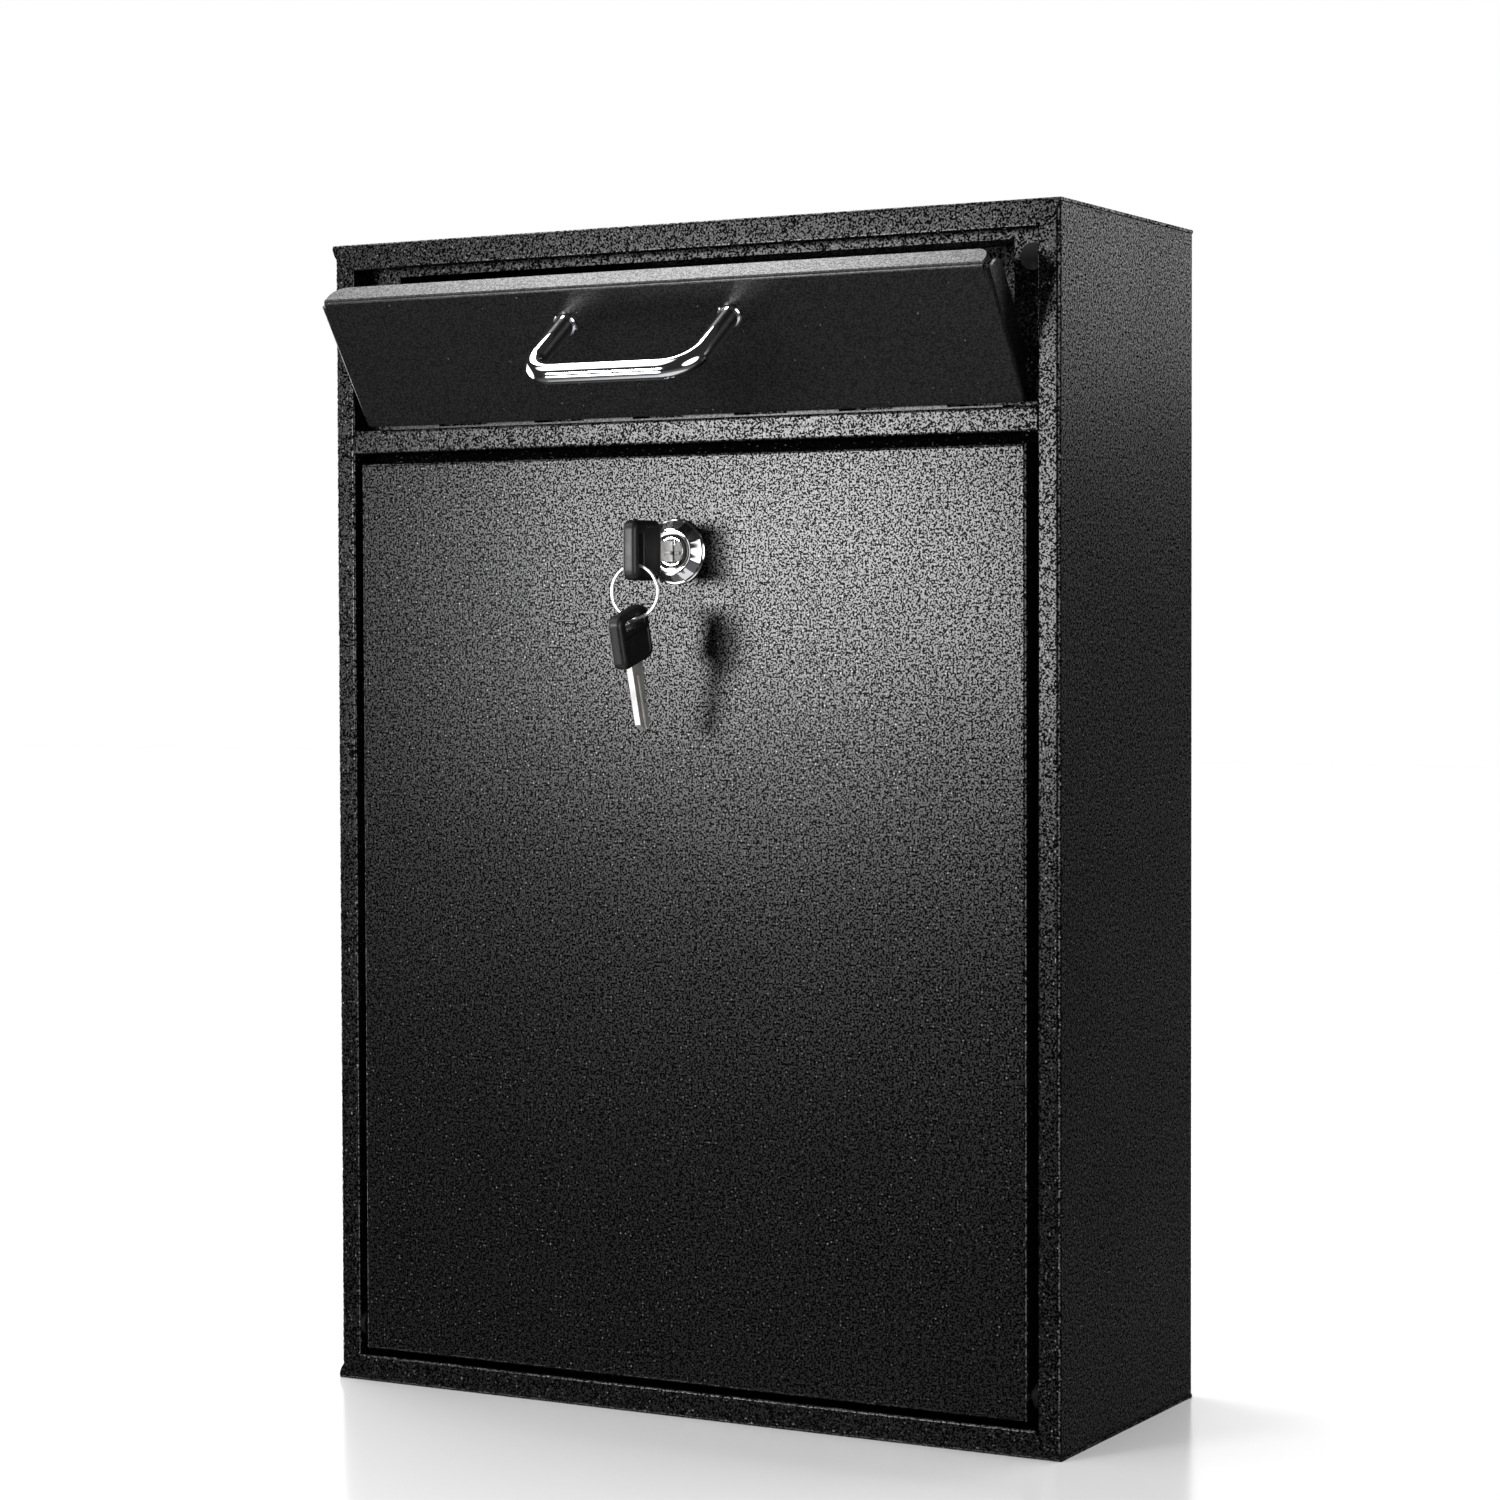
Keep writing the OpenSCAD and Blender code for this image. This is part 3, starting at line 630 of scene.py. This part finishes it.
def bow_half(sign, count):
    """Loops of one half of the bow, from the middle of its edge over its face into the slot."""
    loops = []
    flat = BOW_T / 2 - BOW_EDGE
    for k in range(7):
        a = math.radians(90 * k / 6)
        loop = ray_loop(bow_outline(BOW_EDGE * (1 - math.cos(a))), count)
        loops.append([(p, sign * (flat + BOW_EDGE * math.sin(a))) for p in loop])
    outer = ray_loop(bow_outline(BOW_EDGE), count)
    rim = 0.45 * MM
    inner = ray_loop(bow_slot(rim), count)
    rings = 30
    for k in range(1, rings):
        loop = []
        for o, i in zip(outer, inner):
            p = o.lerp(i, k / rings)
            sunk = panel_depth(p.x + BOW_SLOT_IN - BOW_L, p.y)
            loop.append((p, sign * (BOW_T / 2 - sunk)))
        loops.append(loop)
    for k in range(4):
        a = math.radians(30 * k)
        loop = ray_loop(bow_slot(rim * (1 - math.sin(a))), count)
        loops.append([(p, sign * (BOW_T / 2 - rim + rim * math.cos(a))) for p in loop])
    return loops


def moulded_bow(name, node, body, place):
    """Bow with round edges, a ring slot and a plain sunk panel on each side."""
    count = 168
    loops = bow_half(1, count) + bow_half(-1, count)[::-1]
    points = []
    for loop in loops:
        for p, out in loop:
            points.append(place @ Vector((out, p.x + BOW_SLOT_IN - BOW_L, p.y)))
    made = piece(name, points, grid_faces(len(loops), count, closed_rows=True), "key_plastic", body)
    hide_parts(node)
    return made


def key_bows():
    low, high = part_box("key_bow")
    inserted = Matrix.Translation((0.0, high.y, (low.z + high.z) / 2))
    moulded_bow("moulded_bow", "key_bow", "key", inserted)
    hook = next(j for j in frame["joints"] if j["name"] == "spare_key_swing")["pos_m"]
    lean = math.atan(SPARE_ASIDE / SPARE_BALANCE) - math.radians(90)
    hung = (Matrix.Translation(hook) @ Matrix.Rotation(lean, 4, "X")
            @ Matrix.Translation((0.0, SPARE_ALONG, -SPARE_ASIDE)))
    moulded_bow("spare_moulded_bow", "spare_key_bow", "spare_key", hung)


# ---- Split ring ----

def split_ring():
    low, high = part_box("key_ring")
    centre = (low + high) / 2
    radius = (high.x - low.x) / 2 - RING_WIRE / 2
    steps = 192
    turns = 2.0
    corner = 0.16 * MM
    half_t, half_w = RING_TURN_T / 2, RING_WIRE / 2
    section = []
    for sx, sy, start in ((1, 1, 0), (-1, 1, 90), (-1, -1, 180), (1, -1, 270)):
        for k in range(4):
            a = math.radians(start + 30 * k)
            section.append((sx * (half_w - corner) + corner * math.cos(a),
                            sy * (half_t - corner) + corner * math.sin(a)))
    points = []
    for i in range(steps + 1):
        turn = turns * i / steps
        a = 2 * math.pi * (turn + 0.04)
        slide = (turn - turns / 2) * RING_TURN_T * 1.04
        for out, across in section:
            r = radius + out
            points.append(centre + Vector((r * math.cos(a), slide + across, r * math.sin(a))))
    count = len(section)
    faces = grid_faces(steps + 1, count)
    faces.append(tuple(range(count - 1, -1, -1)))
    faces.append(tuple(range(len(points) - count, len(points))))
    made = piece("split_ring", points, faces, "nickel_plate", "ring")
    sharp_over(made, math.radians(50))
    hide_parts("key_ring")
    return made


# ---- Studio ----

def floor():
    mesh = bpy.data.meshes.new("floor")
    far = FLOOR_REACH
    corners = [(-far, -far, 0), (far, -far, 0), (far, far, 0), (-far, far, 0)]
    mesh.from_pydata(corners, [], [(0, 1, 2, 3)])
    made = bpy.data.objects.new("floor", mesh)
    bpy.context.scene.collection.objects.link(made)
    made.data.materials.append(studio_floor())
    made.visible_glossy = False


def softbox(name, place, aim, size, light):
    """A rectangular area light, as bright as the given light over all its face."""
    data = bpy.data.lights.new(name, "AREA")
    data.shape = "RECTANGLE"
    data.size, data.size_y = size
    data.energy = light * math.pi * size[0] * size[1]
    made = bpy.data.objects.new(name, data)
    made.location = place
    made.rotation_mode = "QUATERNION"
    made.rotation_quaternion = (Vector(aim) - Vector(place)).to_track_quat("-Z", "Y")
    bpy.context.scene.collection.objects.link(made)
    return made


def surroundings():
    """White all round for the view and the floor. Gloss sees a dark room with pale cards in it."""
    world = bpy.data.worlds.new("studio")
    world.use_nodes = True
    bpy.context.scene.world = world
    room = Graph(world.node_tree)
    way = room.node("ShaderNodeTexCoord", {}, {}, "Generated")
    low = way.dot((0.0, 0.0, -1.0))
    seen = ROOM_DARK
    seen = seen + FLOOR_BOUNCE * low.between(0.4, 0.78) + FLOOR_BELOW * low.between(0.79, 0.9)
    for toward, near, far, light in CARDS:
        seen = seen + light * way.dot(toward).between(math.cos(far), math.cos(near))
    rays = room.node("ShaderNodeLightPath", {}, {}, "Is Glossy Ray")
    direct = room.node("ShaderNodeLightPath", {}, {}, "Is Camera Ray")
    around = direct + (1.0 - direct) * STUDIO_WHITE
    strength = rays * seen + (1.0 - rays) * around
    backdrop = room.tree.nodes["Background"]
    backdrop.inputs["Color"].default_value = (1.0, 1.0, 1.0, 1.0)
    room.tree.links.new(strength.socket, backdrop.inputs["Strength"])


def camera():
    data = bpy.data.cameras.new("camera")
    data.lens = CAMERA_LENS
    data.sensor_width = SENSOR
    data.shift_x = CAMERA_SHIFT
    data.clip_start = 0.05
    data.clip_end = 50.0
    made = bpy.data.objects.new("camera", data)
    bpy.context.scene.collection.objects.link(made)
    ahead = Vector((-math.sin(CAMERA_YAW) * math.cos(CAMERA_PITCH),
                    math.cos(CAMERA_YAW) * math.cos(CAMERA_PITCH), math.sin(CAMERA_PITCH)))
    level = Vector((math.cos(CAMERA_YAW), math.sin(CAMERA_YAW), 0.0))
    above = level.cross(ahead)
    right = level * math.cos(CAMERA_ROLL) + above * math.sin(CAMERA_ROLL)
    up = above * math.cos(CAMERA_ROLL) - level * math.sin(CAMERA_ROLL)
    made.matrix_world = Matrix((
        (right.x, up.x, -ahead.x, CAMERA_PLACE.x), (right.y, up.y, -ahead.y, CAMERA_PLACE.y),
        (right.z, up.z, -ahead.z, CAMERA_PLACE.z), (0.0, 0.0, 0.0, 1.0)))
    bpy.context.scene.camera = made


def studio():
    camera()
    floor()
    surroundings()
    for name, place, aim, size, light in LIGHTS:
        softbox(name, place, aim, size, light)
    bpy.context.scene.view_settings.view_transform = "Standard"


studio()
finish_cad_parts()
bow_handle()
lock_bezel()
core_face()
key_bows()
split_ring()
